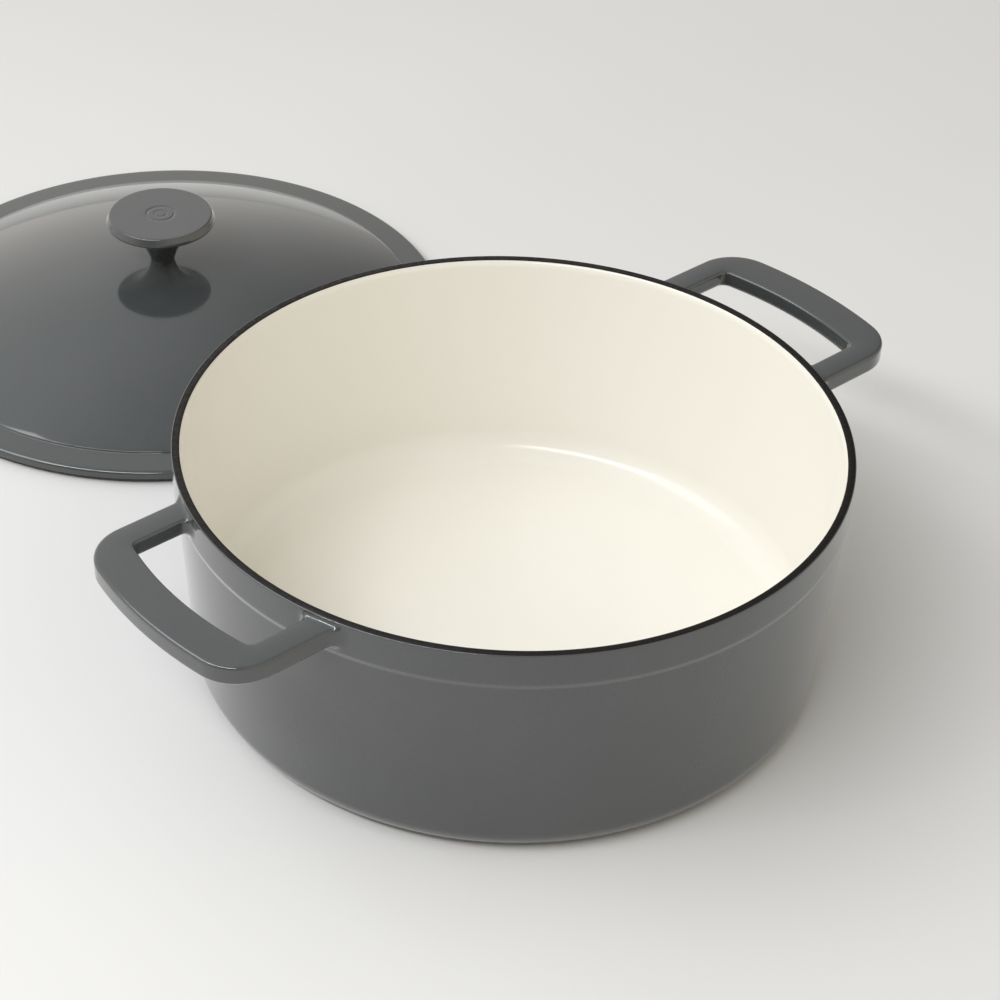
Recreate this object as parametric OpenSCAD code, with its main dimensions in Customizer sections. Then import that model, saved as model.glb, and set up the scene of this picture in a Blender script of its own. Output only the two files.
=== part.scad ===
// Round enamelled cast iron dutch oven with its lid laid beside it.
// Units are millimetres. The origin is the centre of the pot's base, on the
// surface that it stands on, with +Z up and +X along the line of the two
// loop handles. The lid lies on the same surface behind the pot, knob up.

/* [Pot] */
// Outer radius of the plain band below the rim
band_r = 140.2; // [136:0.2:146]
// Height of the pot, from its base to the top of its rim
pot_h = 107.4; // [100:0.2:120]
// Inner radius of the mouth
mouth_r = 136.8; // [134:0.2:137]
// Outer radius of the wall, just above its rounded bottom edge
wall_foot_r = 134.4; // [130:0.2:137]
// Radius of the rounded bottom edge, outside
bottom_round_r = 12.4; // [8:0.2:18]
// Inner radius of the wall, just above the rounded edge of the floor
floor_wall_r = 130.4; // [126:0.2:131]
// Height of the inner floor above the base
floor_z = 5.2; // [4.4:0.2:8]
// Radius between the inner floor and the wall
floor_round_r = 14; // [10:0.5:18]
// Height where the band starts to step in towards the wall
step_top_z = 94; // [92:0.5:94.5]
// Height where that step meets the wall
step_foot_z = 90; // [86:0.5:91]

/* [Handles] */
// Height of the handles' flat top face
handle_top_z = 105.3; // [104.6:0.1:105.6]
// Thickness of the loop from top to bottom
handle_t = 9; // [8:0.1:10]
// Distance from the pot's axis to the far edge of a loop
handle_reach = 184.4; // [176:0.2:190]
// Half the width of a loop, across its two arms
handle_half_w = 50.6; // [46:0.1:54]
// Half the width of the finger gap
gap_half_w = 38.4; // [34:0.1:41]
// Distance from the pot's axis to the far side of the finger gap
gap_reach = 166.6; // [160:0.2:169]
// Radius of a loop's two outer corners
handle_corner_r = 20.5; // [14:0.5:23]
// Radius of the finger gap's two far corners
gap_corner_r = 3.5; // [2:0.5:8]

/* [Lid] */
// Where the lid's axis stands, along X
lid_x = 28.8; // [10:0.2:50]
// Where the lid's axis stands, along Y
lid_y = 300; // [296:0.2:330]
// Outer radius of the lid
lid_r = 143.8; // [140:0.2:146]
// Height of the flange's top face when the lid lies on its ring
flange_top_z = 6.8; // [6.6:0.1:7.4]
// Height of the flange's underside
flange_foot_z = 2; // [1.6:0.1:2.4]
// Radius where the flange meets the dome
dome_r = 129; // [126:0.2:131]
// Height of the small riser at the edge of the dome
riser_h = 1.2; // [0.8:0.1:1.6]
// Height of the top of the dome
dome_top_z = 36.2; // [32:0.2:40]
// Thickness of the dome
dome_t = 5.2; // [4.8:0.1:6]
// Outer radius of the locating ring under the flange
ring_r = 135.2; // [134:0.2:135.6]
// Width of the locating ring
ring_w = 3.6; // [3:0.1:4.4]

/* [Knob] */
// Radius of the knob's disc at its widest
knob_r = 27.4; // [27:0.2:30]
// Radius of the disc's flat top
knob_top_r = 26; // [24:0.2:26.8]
// Height of the knob
knob_h = 26.6; // [24:0.2:30]
// Thickness of the disc at its rim
knob_rim_t = 5; // [4.4:0.1:7]
// Radius of the stem where it opens out under the disc
stem_top_r = 10.4; // [9:0.1:12]
// Radius of the stem at its waist
stem_waist_r = 6.1; // [5.6:0.1:7]
// Shank radius of the screw that holds the knob
screw_r = 3; // [2.5:0.1:3.2]

/* [Enamel] */
// Thickness of the enamel coats
coat = 0.4; // [0.3:0.05:0.45]

/* [Hidden] */
$fn = 128;

slate = "#5a5c5b";
cream = "#efe9dc";
iron = "#2b2724";
steel = "#b8b8b6";

// Clearance that lets a cutter pass right through what it cuts
over = 1;

// How far the wall steps in under the plain band
step_deep = 1;
// Half angle of the cone that the wall follows
wall_lean = atan((band_r - step_deep - wall_foot_r) / (step_foot_z - bottom_round_r));
// Radius of the rounded outer top edge of the pot
rim_edge_r = 0.5;
// Radius where the black rim enamel stops and the outer enamel starts
rim_split_r = band_r - rim_edge_r;

// Radius of the shallow arc at the far side of the finger gap
gap_far_r = 0.97 * gap_reach;
// Width of a handle arm
arm_w = handle_half_w - gap_half_w;
// Height of a loop's flat underside
handle_foot_z = handle_top_z - handle_t;
// Radius of the casting's skin under the outer enamel, where the arms start
root_r = band_r - coat;
// Start, along X, of the cutters that stop the outer enamel round the arms
arm_cut_x = 0.9 * root_r;

// Radius of the rounded top edge of the flange
flange_edge_r = 1.2;
// Height where the lid's outer enamel stops, so that the edge under it is bare
enamel_stop_z = flange_foot_z + 1;
// Radius of the sphere that gives the dome its curve, and its centre's height
dome_foot_z = flange_top_z + riser_h;
dome_rise = dome_top_z - dome_foot_z;
dome_sphere_r = (dome_r * dome_r + dome_rise * dome_rise) / (2 * dome_rise);
dome_centre_z = dome_top_z - dome_sphere_r;
// Facets of those very large circles
dome_facets = 720;
// Radius of the inside of the lid where it meets the locating ring
lid_hollow_r = ring_r - ring_w;
// Flat boss under the middle of the lid: radius, and height of its face
boss_r = 11;
boss_drop = 1;
boss_z = dome_top_z - dome_t - boss_drop;

// Height of the knob's foot, a little below the top of the dome so that it seats on a flat
knob_foot_z = dome_top_z - 0.1;
// Radius of the stem's foot, and heights of its waist and neck above the foot
stem_foot_r = stem_waist_r + 0.5;
waist_h = 3.4;
neck_h = 11;
// Chamfer under the disc
knob_under = 1.2;
// Shallow plain ring in the top of the knob: radius, and radius of its groove
top_ring_r = 6.8;
top_groove_r = 0.4;

// Knob screw: clearance hole, washer, head, length above the boss, and its socket
screw_hole_r = screw_r + 0.3;
washer_r = 9;
washer_t = 1.2;
screw_head_r = 6;
screw_head_t = 3.4;
screw_reach = 14;
socket_r = 2;
socket_deep = 2;
// Depth of the knob's bore, with room left past the end of the screw
bore_deep = screw_reach - dome_t - boss_drop + 2;

// Half section of the pot as a full solid, its skin moved in by inset
module pot_outline(inset) {
    lean_x = bottom_round_r * cos(wall_lean);
    lean_z = bottom_round_r * sin(wall_lean);
    round_x = wall_foot_r - lean_x;
    intersection() {
        union() {
            polygon([
                [0, 0],
                [round_x, 0],
                [round_x, inset],
                [round_x, bottom_round_r],
                [round_x + lean_x - inset, bottom_round_r - lean_z],
                [band_r - step_deep - inset, step_foot_z],
                [band_r - inset, step_top_z],
                [band_r - inset, pot_h - rim_edge_r],
                [band_r - rim_edge_r, pot_h - rim_edge_r],
                [band_r - rim_edge_r, pot_h - inset],
                [0, pot_h - inset]
            ]);
            translate([round_x, bottom_round_r]) circle(bottom_round_r - inset);
            translate([band_r - rim_edge_r, pot_h - rim_edge_r]) circle(rim_edge_r - inset);
        }
        square([band_r + over, pot_h + over]);
    }
}

// Half section of the space inside the pot, its skin moved out by outset
module pot_hollow(outset) {
    round_x = floor_wall_r - floor_round_r;
    round_z = floor_z + floor_round_r;
    union() {
        polygon([
            [0, floor_z - outset],
            [round_x, floor_z - outset],
            [round_x, round_z],
            [floor_wall_r + outset, round_z],
            [mouth_r + outset, pot_h],
            [mouth_r + outset, pot_h + over],
            [0, pot_h + over]
        ]);
        intersection() {
            translate([round_x, round_z]) circle(floor_round_r + outset);
            translate([round_x - over, floor_z - outset]) square([floor_round_r * 2, floor_round_r + outset]);
        }
    }
}

// The iron under the enamel: full section less hollow and coats
module pot_iron_section() {
    difference() {
        pot_outline(coat);
        pot_hollow(coat);
    }
}

// All that lies between the iron and the pot's outer faces
module pot_coat_section() {
    difference() {
        pot_outline(0);
        pot_hollow(0);
        pot_outline(coat);
    }
}

// A plan with a straight front and sides, an arc of radius far_r at its far
// end, centred at far_x, and two far corners of radius corner_r
module loop_plan(half_w, far_x, far_r, corner_r) {
    corner_y = half_w - corner_r;
    corner_x = sqrt(pow(far_r - corner_r, 2) - pow(corner_y, 2));
    translate([0, -half_w]) square([far_x + corner_x, 2 * half_w]);
    translate([far_x, 0])
        intersection() {
            circle(far_r);
            polygon([[0, 0], [2 * corner_x, 2 * corner_y], [2 * corner_x, -2 * corner_y]]);
        }
    for (side = [-1, 1])
        translate([far_x + corner_x, side * corner_y]) circle(corner_r);
}

// Plan of one loop, on the +X side
module handle_plan() {
    difference() {
        loop_plan(handle_half_w, 0, handle_reach, handle_corner_r);
        loop_plan(gap_half_w, gap_reach - gap_far_r, gap_far_r, gap_corner_r);
        circle(root_r);
    }
}

// One loop on the +X side
module side_handle() {
    translate([0, 0, handle_foot_z]) linear_extrude(handle_t) handle_plan();
}

module side_handle_right() {
    color(slate) side_handle();
}

module side_handle_left() {
    color(slate) rotate([0, 0, 180]) side_handle();
}

module pot_casting() {
    color(iron) rotate_extrude() pot_iron_section();
}

// The outer coat stops round the four handle arms, which are cast with the pot
module pot_outer_enamel() {
    color(slate)
        difference() {
            rotate_extrude()
                difference() {
                    pot_coat_section();
                    translate([0, pot_h - coat]) square([rim_split_r, over]);
                }
            for (turn = [0, 180], side = [-1, 1])
                rotate([0, 0, turn])
                    translate([arm_cut_x, side * (gap_half_w + arm_w / 2) - arm_w / 2, handle_foot_z])
                        cube([handle_corner_r * 2, arm_w, handle_t]);
        }
}

module pot_inner_enamel() {
    color(cream)
        rotate_extrude()
            difference() {
                pot_hollow(coat);
                pot_hollow(0);
                translate([0, pot_h - coat]) square([band_r, over * 2]);
            }
}

module pot_rim_enamel() {
    color(iron)
        rotate_extrude()
            translate([mouth_r, pot_h - coat]) square([rim_split_r - mouth_r, coat]);
}

// Half section under the lid's upper face, that face moved down by drop
module lid_outline(drop) {
    union() {
        translate([0, flange_foot_z]) square([lid_r - drop, flange_top_z - flange_edge_r - flange_foot_z]);
        square([lid_r - flange_edge_r, flange_top_z - drop]);
        translate([lid_r - flange_edge_r, flange_top_z - flange_edge_r]) circle(flange_edge_r - drop);
        square([dome_r - drop, dome_foot_z - drop]);
        intersection() {
            translate([0, dome_centre_z]) circle(dome_sphere_r - drop, $fn = dome_facets);
            square([dome_r - drop, knob_foot_z]);
        }
    }
}

// Half section of the hollow under the lid, its face moved up by rise
module lid_hollow(rise) {
    difference() {
        intersection() {
            translate([0, dome_centre_z]) circle(dome_sphere_r - dome_t + rise, $fn = dome_facets);
            translate([0, -over]) square([lid_hollow_r + rise, dome_top_z]);
        }
        translate([0, boss_z]) square([boss_r, dome_top_z]);
    }
}

module lid_at() {
    translate([lid_x, lid_y, 0]) children();
}

module lid_casting() {
    lid_at() color(iron)
        difference() {
            rotate_extrude()
                difference() {
                    lid_outline(coat);
                    lid_hollow(coat);
                    translate([ring_r, -over]) square([lid_r, flange_foot_z + over]);
                }
            translate([0, 0, boss_z - over]) cylinder(h = dome_t + 2 * over, r = screw_hole_r);
        }
}

module lid_outer_enamel() {
    lid_at() color(slate)
        rotate_extrude()
            difference() {
                lid_outline(0);
                lid_outline(coat);
                square([screw_hole_r, dome_top_z]);
                square([lid_r + over, enamel_stop_z]);
            }
}

module lid_inner_enamel() {
    lid_at() color(cream)
        rotate_extrude()
            difference() {
                lid_hollow(coat);
                lid_hollow(0);
                translate([0, -over]) square([lid_r, flange_foot_z + over]);
            }
}

// The knob is a cast disc on a waisted stem, bored for its screw
module knob() {
    rim_foot = knob_h - knob_rim_t;
    lid_at() color(slate)
        translate([0, 0, knob_foot_z])
            difference() {
                rotate_extrude()
                    polygon([
                        [0, 0],
                        [stem_foot_r, 0],
                        [stem_waist_r, waist_h],
                        [stem_top_r, neck_h],
                        [knob_r - knob_under, rim_foot],
                        [knob_r, rim_foot + knob_under],
                        [knob_top_r, knob_h],
                        [0, knob_h]
                    ]);
                translate([0, 0, -over]) cylinder(h = bore_deep + over, r = screw_r);
                rotate_extrude() translate([top_ring_r, knob_h]) circle(top_groove_r);
            }
}

module knob_screw() {
    lid_at() color(steel)
        translate([0, 0, boss_z - washer_t])
            difference() {
                union() {
                    cylinder(h = screw_reach + washer_t, r = screw_r);
                    translate([0, 0, -screw_head_t]) cylinder(h = screw_head_t, r = screw_head_r);
                }
                translate([0, 0, -screw_head_t - over]) cylinder(h = socket_deep + over, r = socket_r, $fn = 6);
            }
}

module knob_washer() {
    lid_at() color(steel)
        translate([0, 0, boss_z - washer_t])
            difference() {
                cylinder(h = washer_t, r = washer_r);
                translate([0, 0, -over]) cylinder(h = washer_t + 2 * over, r = screw_r);
            }
}

pot_casting();
side_handle_right();
side_handle_left();
pot_outer_enamel();
pot_inner_enamel();
pot_rim_enamel();
lid_casting();
lid_outer_enamel();
lid_inner_enamel();
knob();
knob_screw();
knob_washer();
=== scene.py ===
"""Enamelled cast iron dutch oven: the looks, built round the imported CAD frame. Metres, +Z up."""

import math

import bpy
from mathutils import Euler, Matrix, Vector


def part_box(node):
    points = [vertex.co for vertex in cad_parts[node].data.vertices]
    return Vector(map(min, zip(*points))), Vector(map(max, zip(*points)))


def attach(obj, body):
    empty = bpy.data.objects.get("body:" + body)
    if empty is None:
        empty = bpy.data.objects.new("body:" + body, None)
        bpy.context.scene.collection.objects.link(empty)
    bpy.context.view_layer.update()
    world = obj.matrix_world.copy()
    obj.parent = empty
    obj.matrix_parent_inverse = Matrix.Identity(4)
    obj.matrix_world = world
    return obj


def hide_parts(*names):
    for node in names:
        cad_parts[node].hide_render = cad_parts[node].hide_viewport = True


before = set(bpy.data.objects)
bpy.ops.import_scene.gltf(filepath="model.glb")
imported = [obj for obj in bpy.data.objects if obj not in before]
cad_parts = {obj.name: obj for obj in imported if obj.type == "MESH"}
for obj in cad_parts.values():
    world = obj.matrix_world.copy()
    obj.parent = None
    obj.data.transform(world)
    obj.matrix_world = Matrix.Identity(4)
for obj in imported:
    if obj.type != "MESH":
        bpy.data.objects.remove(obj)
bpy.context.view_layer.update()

MM = 0.001
TURN = 2 * math.pi


# ---------------------------------------------------------------- sizes from the frame

coat_low, coat_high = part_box("pot_outer_enamel")
inner_low, inner_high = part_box("pot_inner_enamel")
rim_low, rim_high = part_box("pot_rim_enamel")
handle_low, handle_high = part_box("side_handle_right")
lid_low, lid_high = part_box("lid_outer_enamel")
knob_low, knob_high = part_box("knob")

POT_H = coat_high.z
BAND_R = coat_high.y
RIM_SPLIT_R = rim_high.y
COAT = rim_high.z - rim_low.z
MOUTH_R = inner_high.y - COAT
FLOOR_Z = inner_low.z + COAT
LID_R = (lid_high.x - lid_low.x) / 2
LID_X = (lid_high.x + lid_low.x) / 2
LID_Y = (lid_high.y + lid_low.y) / 2
KNOB_R = (knob_high.x - knob_low.x) / 2
KNOB_FOOT_Z = knob_low.z
KNOB_TOP_Z = knob_high.z

# Profile of the pot
WALL_FOOT_R = 134.4 * MM
BOTTOM_ROUND = 12.4 * MM
STEP_TOP_Z = 94 * MM
STEP_FOOT_Z = 90 * MM
STEP_DEEP = 1.0 * MM
RIM_EDGE = 0.45 * MM
FLOOR_WALL_R = 130.4 * MM
FLOOR_ROUND = 14 * MM
RIM_INNER_EDGE = 0.25 * MM
# A coat's mesh is a little thinner than the coat, so that it stays clear of the casting
COAT_SKIN = 0.7 * COAT

# Profile of the lid
FLANGE_TOP_Z = 6.8 * MM
FLANGE_EDGE = 2.0 * MM
FLANGE_RISE = 0.4 * MM
LID_COAT_FOOT_Z = lid_low.z
LID_COAT_END_R = 3.5 * MM
DOME_R = 129 * MM
DOME_TOP_Z = KNOB_FOOT_Z + 0.05 * MM
RISER_H = 1.2 * MM
RISER_OUT = 0.5 * MM
RISER_IN = 0.3 * MM

# Disc of the knob, and the two rings in its top as radius, width and depth
KNOB_FACE_R = 26.1 * MM
KNOB_EDGE = 0.9 * MM
KNOB_UNDER = 1.3 * MM
DISC_H = 4.9 * MM
WIDEST_UP = 1.5 * MM
OUTER_RING = (6.9 * MM, 1.5 * MM, 0.22 * MM)
INNER_RING = (3.0 * MM, 1.2 * MM, 0.16 * MM)

# Stem of the knob; the pulls are the middle control points of its curve
STEM_R = 6.05 * MM
STEM_HEAD_R = 24.6 * MM
STEM_H = 21 * MM
STEM_PULL_UP = (STEM_R, 1 * MM)
STEM_PULL_OUT = (9 * MM, 16 * MM)
STEM_STEPS = 20

# Plan and section of a loop handle
HANDLE_TOP_Z = handle_high.z
HANDLE_FOOT_Z = handle_low.z
HANDLE_REACH = handle_high.x
HANDLE_HALF_W = handle_high.y
GAP_HALF_W = 38.4 * MM
GAP_REACH = 166.6 * MM
GAP_FAR_R = 0.97 * GAP_REACH
HANDLE_CORNER = 20.5 * MM
GAP_CORNER = 3.5 * MM
CORNER_STEPS = 24
BAR_STEPS = 30
ARM_STEPS = 14
EDGE_LOW_OUT = 1.85 * MM
EDGE_LOW_IN = 3.6 * MM
EDGE_HIGH = 1.45 * MM
CROWN = 0.15 * MM

# Root of a loop handle's arm, where a fillet runs into the wall
ROOT_RISE = 0.4 * MM
ROOT_SUNK = 0.05 * MM
ROOT_SPREAD = 0.8 * MM
ROOT_TOP_GAP = 0.3 * MM
FILLET_SIDE = 5.0 * MM
FILLET_ABOVE = 2.0 * MM
FILLET_BELOW = 3.5 * MM
FILLET_STEPS = 10


# ---------------------------------------------------------------- mesh building

def arc(x, z, radius, start, end, steps):
    """Points on an arc of a profile, from start to end in degrees, ends included."""
    points = []
    for i in range(steps + 1):
        a = math.radians(start + (end - start) * i / steps)
        points.append((x + radius * math.cos(a), z + radius * math.sin(a)))
    return points


def line(start, end, steps):
    """Points between two profile points, both left out."""
    return [
        (start[0] + (end[0] - start[0]) * i / steps, start[1] + (end[1] - start[1]) * i / steps)
        for i in range(1, steps)
    ]


def ease(t):
    """0 to 1 along a soft S."""
    return t * t * (3 - 2 * t)


def smooth_step(z_low, r_low, z_high, r_high, steps):
    """A soft S from one radius to another."""
    points = []
    for i in range(steps + 1):
        t = i / steps
        points.append((r_low + (r_high - r_low) * ease(t), z_low + (z_high - z_low) * t))
    return points


def add_mesh(name, vertices, faces, material):
    """A smooth-shaded piece in the scene."""
    mesh = bpy.data.meshes.new(name)
    mesh.from_pydata(vertices, [], faces)
    mesh.validate()
    mesh.update()
    mesh.shade_smooth()
    piece = bpy.data.objects.new(name, mesh)
    bpy.context.scene.collection.objects.link(piece)
    piece.data.materials.append(material)
    return piece


def revolve(name, loop, material, x=0.0, y=0.0, steps=360):
    """A closed solid from a closed profile of (radius, z), turned round a vertical axis."""
    vertices = []
    rings = []
    for r, z in loop:
        if r < 1e-7:
            rings.append([len(vertices)])
            vertices.append((x, y, z))
            continue
        rings.append(range(len(vertices), len(vertices) + steps))
        for i in range(steps):
            a = TURN * i / steps
            vertices.append((x + r * math.cos(a), y + r * math.sin(a), z))
    faces = []
    for k, low in enumerate(rings):
        high = rings[(k + 1) % len(rings)]
        if len(low) == 1 and len(high) == 1:
            continue
        for i in range(steps):
            j = (i + 1) % steps
            if len(low) == 1:
                faces.append((low[0], high[j], high[i]))
            elif len(high) == 1:
                faces.append((low[i], low[j], high[0]))
            else:
                faces.append((low[i], low[j], high[j], high[i]))
    return add_mesh(name, vertices, faces, material)


# ---------------------------------------------------------------- materials

# Keeps the noises' own middle planes, which show as lines, clear of the pot
NOISE_SHIFT = (1.3713, 2.1137, 0.7319)


def new_material(name):
    """A material, its node tree, its shader and the coordinates for its noises."""
    material = bpy.data.materials.new(name)
    material.use_nodes = True
    tree = material.node_tree
    shader = tree.nodes["Principled BSDF"]
    place = tree.nodes.new("ShaderNodeTexCoord")
    away = tree.nodes.new("ShaderNodeMapping")
    away.inputs["Location"].default_value = NOISE_SHIFT
    tree.links.new(place.outputs["Object"], away.inputs["Vector"])
    return material, tree, shader, away.outputs["Vector"]


def noise(tree, place, scale, detail=3.0, rough=0.5):
    node = tree.nodes.new("ShaderNodeTexNoise")
    node.inputs["Scale"].default_value = scale
    node.inputs["Detail"].default_value = detail
    node.inputs["Roughness"].default_value = rough
    tree.links.new(place, node.inputs["Vector"])
    return node.outputs["Fac"]


def ramp(tree, value, stops):
    """A colour ramp: stops are (position, colour)."""
    node = tree.nodes.new("ShaderNodeValToRGB")
    elements = node.color_ramp.elements
    while len(elements) > len(stops):
        elements.remove(elements[-1])
    while len(elements) < len(stops):
        elements.new(1.0)
    for element, (at, colour) in zip(elements, stops):
        element.position = at
        element.color = (*colour, 1.0)
    tree.links.new(value, node.inputs["Fac"])
    return node.outputs["Color"]


def ranged(tree, value, start, end, low, high, kind="SMOOTHSTEP"):
    """Maps start to end of a value to low to high."""
    node = tree.nodes.new("ShaderNodeMapRange")
    node.interpolation_type = kind
    for socket, number in (("From Min", start), ("From Max", end), ("To Min", low), ("To Max", high)):
        node.inputs[socket].default_value = number
    tree.links.new(value, node.inputs["Value"])
    return node.outputs["Result"]


def spread(tree, value, low, high):
    """Maps the middle of a noise, 0.3 to 0.7, to low to high."""
    return ranged(tree, value, 0.3, 0.7, low, high, "LINEAR")


def mixed(tree, factor, a, b):
    """Mixes two colours, each a tuple or a socket. Sockets 6 and 7 are the node's two colours."""
    node = tree.nodes.new("ShaderNodeMix")
    node.data_type = "RGBA"
    tree.links.new(factor, node.inputs["Factor"])
    for socket, colour in ((6, a), (7, b)):
        if isinstance(colour, tuple):
            node.inputs[socket].default_value = (*colour, 1.0)
        else:
            tree.links.new(colour, node.inputs[socket])
    return node.outputs[2]


def bumped(tree, height, strength, distance, before=None):
    """A bump from a height, laid over the bump before it."""
    node = tree.nodes.new("ShaderNodeBump")
    node.inputs["Strength"].default_value = strength
    node.inputs["Distance"].default_value = distance
    tree.links.new(height, node.inputs["Height"])
    if before is not None:
        tree.links.new(before, node.inputs["Normal"])
    return node.outputs["Normal"]


def slate_enamel():
    """Glossy slate enamel: faint mottling, fine orange peel and a clear top."""
    material, tree, shader, place = new_material("slate_enamel")
    mottle = noise(tree, place, 14, 4, 0.6)
    grain = noise(tree, place, 900, 2, 0.5)
    base = ramp(tree, mottle, [(0.3, (0.051, 0.056, 0.058)), (0.7, (0.061, 0.066, 0.068))])
    speckled = mixed(tree, spread(tree, grain, 0.0, 0.35), base, (0.043, 0.048, 0.050))
    tree.links.new(speckled, shader.inputs["Base Color"])
    tree.links.new(spread(tree, noise(tree, place, 30, 3), 0.11, 0.15), shader.inputs["Roughness"])
    peel = bumped(tree, noise(tree, place, 90, 2), 0.05, 0.0004)
    tree.links.new(bumped(tree, grain, 0.05, 0.0001, peel), shader.inputs["Normal"])
    shader.inputs["IOR"].default_value = 1.5
    shader.inputs["Coat Weight"].default_value = 0.8
    shader.inputs["Coat Roughness"].default_value = 0.03
    return material


def cream_enamel():
    """Glossy cream enamel, a little warmer in faint clouds."""
    material, tree, shader, place = new_material("cream_enamel")
    cloud = noise(tree, place, 5, 3, 0.5)
    base = ramp(tree, cloud, [(0.3, (0.852, 0.830, 0.764)), (0.7, (0.868, 0.848, 0.788))])
    tree.links.new(base, shader.inputs["Base Color"])
    tree.links.new(spread(tree, noise(tree, place, 400, 2), 0.20, 0.24), shader.inputs["Roughness"])
    peel = bumped(tree, noise(tree, place, 300, 2), 0.04, 0.0002)
    tree.links.new(peel, shader.inputs["Normal"])
    shader.inputs["IOR"].default_value = 1.5
    return material


def rim_enamel():
    """Matte brown-black rim with a fine grain."""
    material, tree, shader, place = new_material("rim_enamel")
    grain = noise(tree, place, 1400, 3, 0.65)
    stops = [
        (0.35, (0.006, 0.005, 0.005)),
        (0.62, (0.014, 0.012, 0.010)),
        (0.75, (0.055, 0.050, 0.044)),
    ]
    base = ramp(tree, grain, stops)
    tree.links.new(base, shader.inputs["Base Color"])
    tree.links.new(spread(tree, noise(tree, place, 500, 2), 0.45, 0.75), shader.inputs["Roughness"])
    tree.links.new(bumped(tree, grain, 0.5, 0.0003), shader.inputs["Normal"])
    shader.inputs["Specular IOR Level"].default_value = 0.22
    return material


def bare_iron():
    """Ground, lightly seasoned iron."""
    material, tree, shader, place = new_material("bare_iron")
    cloud = noise(tree, place, 40, 4, 0.6)
    grain = noise(tree, place, 1100, 3, 0.6)
    base = ramp(tree, cloud, [(0.3, (0.030, 0.024, 0.019)), (0.7, (0.062, 0.050, 0.041))])
    specked = mixed(tree, spread(tree, grain, 0.0, 0.5), base, (0.018, 0.015, 0.013))
    tree.links.new(specked, shader.inputs["Base Color"])
    tree.links.new(spread(tree, grain, 0.5, 0.75), shader.inputs["Roughness"])
    tree.links.new(bumped(tree, grain, 0.35, 0.0003), shader.inputs["Normal"])
    return material


def screw_steel():
    """Brushed stainless steel."""
    material, tree, shader, place = new_material("screw_steel")
    stretch = tree.nodes.new("ShaderNodeMapping")
    stretch.inputs["Scale"].default_value = (1, 12, 1)
    tree.links.new(place, stretch.inputs["Vector"])
    brush = noise(tree, stretch.outputs["Vector"], 700, 3)
    base = ramp(tree, brush, [(0.3, (0.50, 0.50, 0.49)), (0.7, (0.66, 0.66, 0.65))])
    tree.links.new(base, shader.inputs["Base Color"])
    shader.inputs["Metallic"].default_value = 1.0
    tree.links.new(spread(tree, brush, 0.26, 0.40), shader.inputs["Roughness"])
    tree.links.new(bumped(tree, brush, 0.15, 0.0001), shader.inputs["Normal"])
    return material


# ---------------------------------------------------------------- the pot

def wall_line():
    """Slope of the outer wall and where it leaves the rounded bottom edge."""
    top_r = BAND_R - STEP_DEEP
    lean = math.atan((top_r - WALL_FOOT_R) / (STEP_FOOT_Z - BOTTOM_ROUND))
    round_x = WALL_FOOT_R - BOTTOM_ROUND * math.cos(lean)
    return math.degrees(lean), round_x


def outer_profile(inset):
    """The pot's outer face from the base up to the rim, moved in by inset."""
    lean, round_x = wall_line()
    bottom = arc(round_x, BOTTOM_ROUND, BOTTOM_ROUND - inset, -90, -lean, 20)
    step = smooth_step(STEP_FOOT_Z, BAND_R - STEP_DEEP - inset, STEP_TOP_Z, BAND_R - inset, 12)
    edge = arc(BAND_R - RIM_EDGE, POT_H - RIM_EDGE, RIM_EDGE - inset, 0, 84, 10)
    return bottom + line(bottom[-1], step[0], 24) + step + line(step[-1], edge[0], 6) + edge


def make_outer_coat(material):
    """The slate coat, from under the base up to the rim."""
    outside = outer_profile(0)
    inside = outer_profile(COAT_SKIN)
    return revolve("pot_outer_coat", outside + inside[::-1], material)


def inner_profile(outset):
    """The pot's inner face, from the middle of the floor up to the rim, moved out by outset."""
    round_x = FLOOR_WALL_R - FLOOR_ROUND
    round_z = FLOOR_Z + FLOOR_ROUND
    lean = math.degrees(math.atan((MOUTH_R - FLOOR_WALL_R) / (POT_H - round_z)))
    floor = [(round_x * i / 10, FLOOR_Z - outset) for i in range(10)]
    corner = arc(round_x, round_z, FLOOR_ROUND + outset, -90, -lean, 24)
    top = (MOUTH_R + outset, POT_H - COAT)
    return floor + corner + line(corner[-1], top, 24) + [top]


def make_inner_coat(material):
    """The cream coat, from the middle of the floor up to the rim."""
    inside = inner_profile(0)
    outside = inner_profile(COAT_SKIN)
    return revolve("pot_inner_coat", outside + inside[::-1], material)


def make_rim_coat(material):
    """The flat matte land of the rim, its inner edge a little rounded."""
    edge = RIM_INNER_EDGE
    foot = POT_H - COAT
    inner = arc(MOUTH_R + edge, POT_H - edge, edge, 180, 90, 6)
    loop = [(RIM_SPLIT_R, foot), (RIM_SPLIT_R, POT_H)] + inner[::-1] + [(MOUTH_R, foot)]
    return revolve("pot_rim_coat", loop, material, steps=720)


def wall_radius(z):
    """Outer radius of the pot at a height near its handles."""
    if z >= STEP_TOP_Z:
        over = max(0.0, z - (POT_H - RIM_EDGE))
        return BAND_R - RIM_EDGE + math.sqrt(max(0.0, RIM_EDGE ** 2 - over ** 2))
    lean = math.radians(wall_line()[0])
    wall = BAND_R - STEP_DEEP - max(0.0, STEP_FOOT_Z - z) * math.tan(lean)
    t = min(1.0, max(0.0, (z - STEP_FOOT_Z) / (STEP_TOP_Z - STEP_FOOT_Z)))
    return wall + STEP_DEEP * ease(t)


def loop_plan_side(half_w, far_x, far_r, corner_r):
    """One edge of a loop in plan, from the end of its arm round a corner to the middle of its bar."""
    corner_y = half_w - corner_r
    corner_x = math.sqrt((far_r - corner_r) ** 2 - corner_y ** 2)
    turn = math.degrees(math.atan2(corner_y, corner_x))
    corner = arc(far_x + corner_x, corner_y, corner_r, 90, turn, CORNER_STEPS)
    bar = arc(far_x, 0, far_r, turn, 0, BAR_STEPS)
    return corner + bar[1:]


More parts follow.
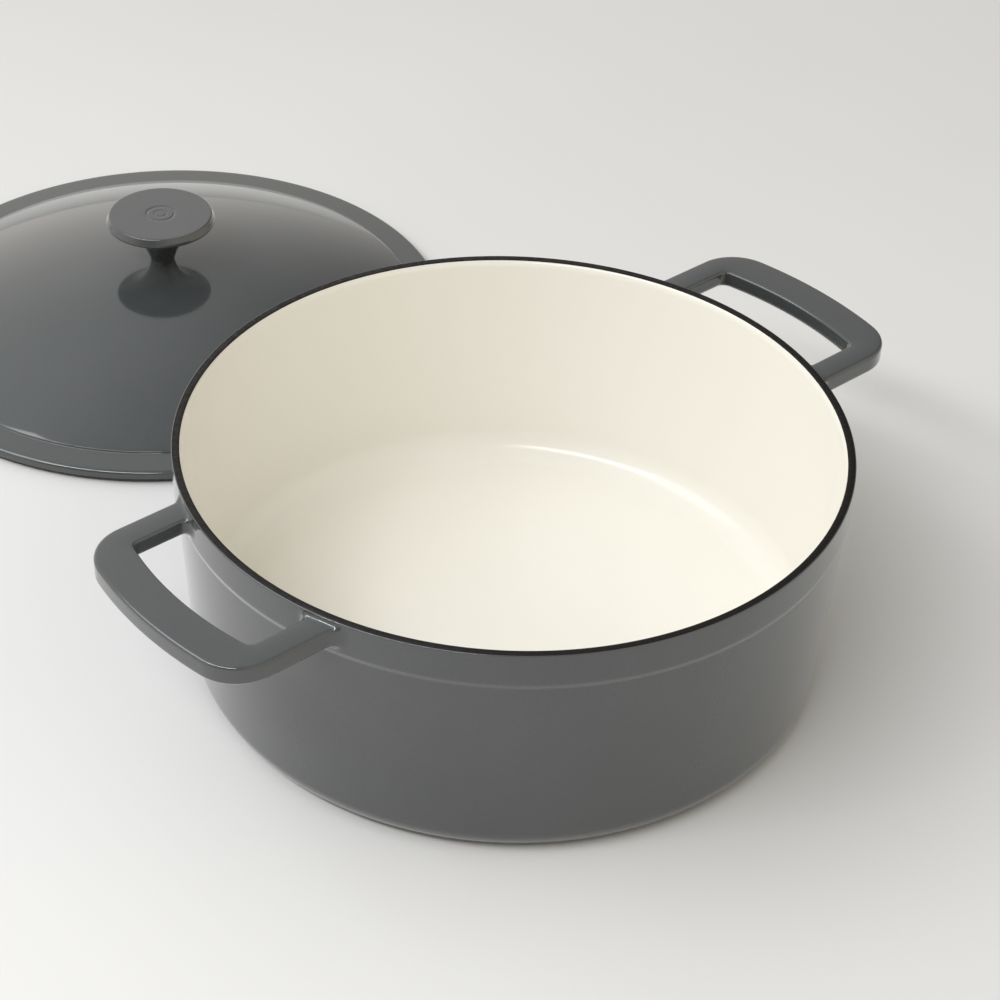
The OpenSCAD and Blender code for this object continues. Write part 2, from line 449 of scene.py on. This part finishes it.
def section(width, height, lift):
    """A bar's rounded section as (across, up, normal across, normal up), going round once."""
    points = []

    def add_corner(x, z, radius, start):
        for i in range(9):
            a = math.radians(start + 90 * i / 8)
            n = (math.cos(a), math.sin(a))
            points.append((x + radius * n[0], z + radius * n[1], n[0], n[1]))

    def add_flat(start, end, n, steps, rise=0.0):
        for i in range(1, steps):
            t = i / steps
            x = start[0] + (end[0] - start[0]) * t
            z = start[1] + (end[1] - start[1]) * t + rise * 4 * t * (1 - t)
            points.append((x, z, n[0], n[1]))

    top = height - CROWN
    add_corner(width - EDGE_LOW_OUT, lift + EDGE_LOW_OUT, EDGE_LOW_OUT, -90)
    add_flat((width, lift + EDGE_LOW_OUT), (width, top - EDGE_HIGH), (1, 0), 4)
    add_corner(width - EDGE_HIGH, top - EDGE_HIGH, EDGE_HIGH, 0)
    add_flat((width - EDGE_HIGH, top), (EDGE_HIGH, top), (0, 1), 8, CROWN)
    add_corner(EDGE_HIGH, top - EDGE_HIGH, EDGE_HIGH, 90)
    add_flat((0, top - EDGE_HIGH), (0, lift + EDGE_LOW_IN), (-1, 0), 4)
    add_corner(EDGE_LOW_IN, lift + EDGE_LOW_IN, EDGE_LOW_IN, 180)
    add_flat((EDGE_LOW_IN, lift), (width - EDGE_LOW_OUT, lift), (0, -1), 8)
    return points


def flare_radius(n_across, n_up):
    """Radius of the fillet where an arm meets the wall: small above, larger at the sides and below."""
    return FILLET_SIDE * n_across ** 2 + (FILLET_ABOVE if n_up > 0 else FILLET_BELOW) * n_up ** 2


def root_stations(outline):
    """Rings of an arm from the wall out to where its fillet ends; the first is sunk in the wall."""
    rings = []
    for k in range(-1, FILLET_STEPS + 1):
        a = math.radians(90 - 90 * max(k, 0) / FILLET_STEPS)
        ring = []
        for across, up, n_across, n_up in outline:
            f = flare_radius(n_across, n_up)
            out = f * (1 - math.cos(a)) + (ROOT_SPREAD if k < 0 else 0)
            away = f * (1 - math.sin(a)) - (ROOT_SUNK if k < 0 else 0)
            y = GAP_HALF_W + across + n_across * out
            z = HANDLE_FOOT_Z + up + n_up * out
            z = min(z, POT_H - ROOT_TOP_GAP)
            x = math.sqrt(max(0.0, wall_radius(z) ** 2 - y ** 2)) + away
            ring.append((x, y, z))
        rings.append(ring)
    return rings


def half_loop_rings():
    """Rings of a loop handle from one root to the middle of its bar."""
    outer = loop_plan_side(HANDLE_HALF_W, 0, HANDLE_REACH, HANDLE_CORNER)
    inner = loop_plan_side(GAP_HALF_W, GAP_REACH - GAP_FAR_R, GAP_FAR_R, GAP_CORNER)
    height = HANDLE_TOP_Z - HANDLE_FOOT_Z
    arm = section(HANDLE_HALF_W - GAP_HALF_W, height, ROOT_RISE)
    rings = root_stations(arm)
    start = rings[-1]
    bar_rings = []
    for k, ((ox, oy), (ix, iy)) in enumerate(zip(outer, inner)):
        lift = ROOT_RISE * max(0.0, 1 - k / CORNER_STEPS)
        width = math.hypot(ox - ix, oy - iy)
        ux, uy = (ox - ix) / width, (oy - iy) / width
        ring = []
        for across, up, _, _ in section(width, height, lift):
            ring.append((ix + ux * across, iy + uy * across, HANDLE_FOOT_Z + up))
        bar_rings.append(ring)
    end = bar_rings[0]
    for k in range(1, ARM_STEPS):
        t = k / ARM_STEPS
        rings.append([tuple(a + (b - a) * t for a, b in zip(p, q)) for p, q in zip(start, end)])
    return rings + bar_rings


def make_loop(name, side, material):
    """A whole loop handle on one side of the pot; side is 1 for +X and -1 for -X."""
    half = half_loop_rings()
    other = [[(x, -y, z) for x, y, z in ring] for ring in half[-2::-1]]
    rings = half + other
    count = len(rings[0])
    vertices = [(side * x, side * y, z) for ring in rings for x, y, z in ring]
    faces = []
    for k in range(len(rings) - 1):
        for i in range(count):
            j = (i + 1) % count
            faces.append((k * count + i, (k + 1) * count + i, (k + 1) * count + j, k * count + j))
    last = (len(rings) - 1) * count
    faces.append(tuple(range(count)))
    faces.append(tuple(last + i for i in reversed(range(count))))
    return add_mesh(name, vertices, faces, material)


# ---------------------------------------------------------------- the lid

def dome_arc(drop, r_out, r_in, steps):
    """The dome's curve from its edge in to r_in, moved down by drop."""
    foot_z = FLANGE_TOP_Z + RISER_H
    rise = DOME_TOP_Z - foot_z
    radius = (DOME_R ** 2 + rise ** 2) / (2 * rise)
    centre_z = DOME_TOP_Z - radius
    points = []
    for i in range(steps + 1):
        r = r_out + (r_in - r_out) * i / steps
        points.append((r, centre_z + math.sqrt((radius - drop) ** 2 - r ** 2)))
    return points


def riser_curve(foot, head, beyond):
    """A small soft step up from the flange that runs on into the dome's own slope."""
    points = []
    steps = 12
    rise = head[1] - foot[1]
    run_on = (beyond[1] - head[1]) / (beyond[0] - head[0]) * (head[0] - foot[0])
    for i in range(steps + 1):
        t = i / steps
        z = foot[1] + rise * ease(t) + run_on * t * t * (t - 1)
        points.append((foot[0] + (head[0] - foot[0]) * t, z))
    return points


def lid_profile(drop):
    """The lid's upper face, from the foot of its edge in to the knob."""
    edge = arc(LID_R - FLANGE_EDGE, FLANGE_TOP_Z - FLANGE_EDGE, FLANGE_EDGE - drop, 0, 88, 10)
    dome = dome_arc(drop, DOME_R - RISER_IN, LID_COAT_END_R, 60)
    foot = (LID_R - drop, LID_COAT_FOOT_Z)
    side = [foot] + line(foot, edge[0], 4)
    riser = riser_curve((DOME_R + RISER_OUT, FLANGE_TOP_Z + FLANGE_RISE - drop), *dome[:2])
    flange = line(edge[-1], riser[0], 8)
    return side + edge + flange + riser + dome[1:]


def make_lid_coat(material):
    """The lid's slate coat: flange, riser and dome."""
    upper = lid_profile(0)
    lower = lid_profile(COAT_SKIN)
    return revolve("lid_outer_coat", upper + lower[::-1], material, LID_X, LID_Y)


def ring_groove(radius, width, deep):
    """A shallow soft groove pressed into the knob's top, from outside in."""
    points = []
    steps = 12
    for i in range(steps + 1):
        t = i / steps
        r = radius + width / 2 - width * t
        points.append((r, KNOB_TOP_Z - deep * math.sin(math.pi * t) ** 2))
    return points


def stem_curve():
    """The stem: upright and narrow at the lid, then a cone that flares out under the disc."""
    controls = ((STEM_R, 0), STEM_PULL_UP, STEM_PULL_OUT, (STEM_HEAD_R, STEM_H))
    points = []
    for i in range(STEM_STEPS + 1):
        t = i / STEM_STEPS
        weights = ((1 - t) ** 3, 3 * t * (1 - t) ** 2, 3 * t * t * (1 - t), t ** 3)
        r = sum(w * p[0] for w, p in zip(weights, controls))
        z = sum(w * p[1] for w, p in zip(weights, controls))
        points.append((r, KNOB_FOOT_Z + z))
    return points


def make_knob(material):
    """A disc with a leaning side on a waisted stem; two plain rings are pressed into its top."""
    widest_z = KNOB_TOP_Z - DISC_H + WIDEST_UP
    lean = math.degrees(math.atan((KNOB_R - KNOB_FACE_R) / (KNOB_TOP_Z - widest_z)))
    low = arc(KNOB_R - KNOB_UNDER, widest_z, KNOB_UNDER, -80, lean, 10)
    side = arc(KNOB_FACE_R - KNOB_EDGE, KNOB_TOP_Z - KNOB_EDGE, KNOB_EDGE, lean, 90, 10)
    outer_ring = ring_groove(*OUTER_RING)
    inner_ring = ring_groove(*INNER_RING)
    centre = (0, KNOB_TOP_Z)
    top = line(side[-1], outer_ring[0], 10) + outer_ring + line(outer_ring[-1], inner_ring[0], 3)
    top += inner_ring + line(inner_ring[-1], centre, 3) + [centre]
    loop = [(0, KNOB_FOOT_Z)] + stem_curve() + low + line(low[-1], side[0], 4) + side + top
    return revolve("knob_disc", loop, material, LID_X, LID_Y, steps=200)


# ---------------------------------------------------------------- stage

# The camera stands before the pot, turned so that the handles run from lower left to upper right
HANDLE_TURN = math.radians(42.5)
CAMERA_OUT = 846.5 * MM
CAMERA_UP = 710.5 * MM
CAMERA_SWING = 0.0549
CAMERA_DIP = 0.6068
CAMERA_ROLL = 0.0108
CAMERA_LENS = 90.88
CAMERA_SHIFT = 0.1
FLOOR_HALF = 4.0
FLOOR_TONES = ((0.78, 0.78, 0.78), (0.80, 0.80, 0.80))
LIGHT_AIM = Vector((0, 0.08, 0.05))
BRIGHT_HEADING = -65
WARM = (1.0, 0.97, 0.92)
COOL = (0.98, 1.0, 1.0)
AMBER = (1.0, 0.93, 0.80)


def level(heading_deg):
    """A level direction; heading 0 points away from the camera and -90 to its left."""
    heading = math.radians(heading_deg) + HANDLE_TURN
    return Vector((math.sin(heading), math.cos(heading), 0))


def make_camera():
    """The camera before the pot, looking down at it."""
    data = bpy.data.cameras.new("camera")
    data.lens = CAMERA_LENS
    data.sensor_width = 36
    data.shift_x = CAMERA_SHIFT
    data.shift_y = -CAMERA_SHIFT
    data.clip_start = 0.01
    camera = bpy.data.objects.new("camera", data)
    bpy.context.scene.collection.objects.link(camera)
    camera.location = (
        -CAMERA_OUT * math.sin(HANDLE_TURN),
        -CAMERA_OUT * math.cos(HANDLE_TURN),
        CAMERA_UP,
    )
    heading = Euler((math.pi / 2 - CAMERA_DIP, 0, CAMERA_SWING - HANDLE_TURN)).to_matrix()
    camera.rotation_euler = (heading @ Matrix.Rotation(CAMERA_ROLL, 3, "Z")).to_euler()
    bpy.context.scene.camera = camera


def make_floor():
    """A plain pale floor, far larger than the view."""
    material, tree, shader, place = new_material("floor")
    tone = ramp(tree, noise(tree, place, 3, 2), [(0.3, FLOOR_TONES[0]), (0.7, FLOOR_TONES[1])])
    tree.links.new(tone, shader.inputs["Base Color"])
    shader.inputs["Roughness"].default_value = 0.9
    shader.inputs["Specular IOR Level"].default_value = 0.0
    corners = [(x * FLOOR_HALF, y * FLOOR_HALF, 0) for x, y in ((-1, -1), (1, -1), (1, 1), (-1, 1))]
    add_mesh("floor", corners, [(0, 1, 2, 3)], material)


def add_softbox(name, heading_deg, up_deg, away, size, power, colour=(1, 1, 1)):
    """A rectangular area light that looks at the pot."""
    data = bpy.data.lights.new(name, "AREA")
    data.shape = "RECTANGLE"
    data.size, data.size_y = size
    data.energy = power
    data.color = colour
    light = bpy.data.objects.new(name, data)
    bpy.context.scene.collection.objects.link(light)
    up = math.radians(up_deg)
    out = level(heading_deg) * math.cos(up) + Vector((0, 0, math.sin(up)))
    light.location = LIGHT_AIM + out * away
    light.rotation_euler = (-out).to_track_quat("-Z", "Y").to_euler()


def make_world():
    """Studio surroundings: bright at the left and behind, darker to the right, warmer low down."""
    world = bpy.data.worlds.new("studio")
    bpy.context.scene.world = world
    world.use_nodes = True
    tree = world.node_tree
    place = tree.nodes.new("ShaderNodeTexCoord").outputs["Generated"]
    along_node = tree.nodes.new("ShaderNodeVectorMath")
    along_node.operation = "DOT_PRODUCT"
    along_node.inputs[1].default_value = level(BRIGHT_HEADING)
    tree.links.new(place, along_node.inputs[0])
    along = along_node.outputs["Value"]
    split = tree.nodes.new("ShaderNodeSeparateXYZ")
    tree.links.new(place, split.inputs[0])
    height = split.outputs["Z"]
    background = tree.nodes["Background"]
    tone = mixed(tree, ranged(tree, height, 0.35, 0.75, 0, 1), WARM, COOL)
    tone = mixed(tree, ranged(tree, along, -0.7, 0.1, 0, 1), AMBER, tone)
    tree.links.new(tone, background.inputs["Color"])
    strength = ranged(tree, along, -0.10, 0.75, 0.20, 0.95)
    from_right = ranged(tree, along, -0.9, -0.2, 0.7, 0.0)
    from_above = ranged(tree, height, 0.65, 1.0, 0, 0.3)
    for more in (from_right, from_above):
        total = tree.nodes.new("ShaderNodeMath")
        tree.links.new(strength, total.inputs[0])
        tree.links.new(more, total.inputs[1])
        strength = total.outputs["Value"]
    tree.links.new(strength, background.inputs["Strength"])


def make_lights():
    """A soft key from the left and a wide strip from the front."""
    add_softbox("key", -100, 46, 1.35, (0.8, 0.6), 4.6, (0.96, 0.98, 1.0))
    add_softbox("front", -148, 50, 1.6, (1.2, 0.18), 10)


# ---------------------------------------------------------------- assembly

def main():
    """Builds the pieces, names what each replaces and rides on, and sets the stage."""
    slate = slate_enamel()
    cream = cream_enamel()
    rim = rim_enamel()
    iron = bare_iron()
    steel = screw_steel()

    made = (
        (make_outer_coat(slate), "pot", "slate_enamel", ["pot_outer_enamel"]),
        (make_inner_coat(cream), "pot", "cream_enamel", ["pot_inner_enamel"]),
        (make_rim_coat(rim), "pot", "rim_enamel", ["pot_rim_enamel"]),
        (make_loop("loop_handle_right", 1, slate), "pot", "enamelled_iron", ["side_handle_right"]),
        (make_loop("loop_handle_left", -1, slate), "pot", "enamelled_iron", ["side_handle_left"]),
        (make_lid_coat(slate), "lid", "slate_enamel", ["lid_outer_enamel"]),
        (make_knob(slate), "lid", "enamelled_iron", ["knob"]),
    )
    for piece, body, slot, nodes in made:
        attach(piece, body)
        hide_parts(*nodes)

    kept = {
        "pot_casting": iron,
        "lid_casting": iron,
        "lid_inner_enamel": cream,
        "knob_screw": steel,
        "knob_washer": steel,
    }
    for node, material in kept.items():
        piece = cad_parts[node]
        piece.data.materials.clear()
        piece.data.materials.append(material)

    make_floor()
    make_camera()
    make_world()
    make_lights()
    bpy.context.scene.view_settings.view_transform = "Standard"


main()
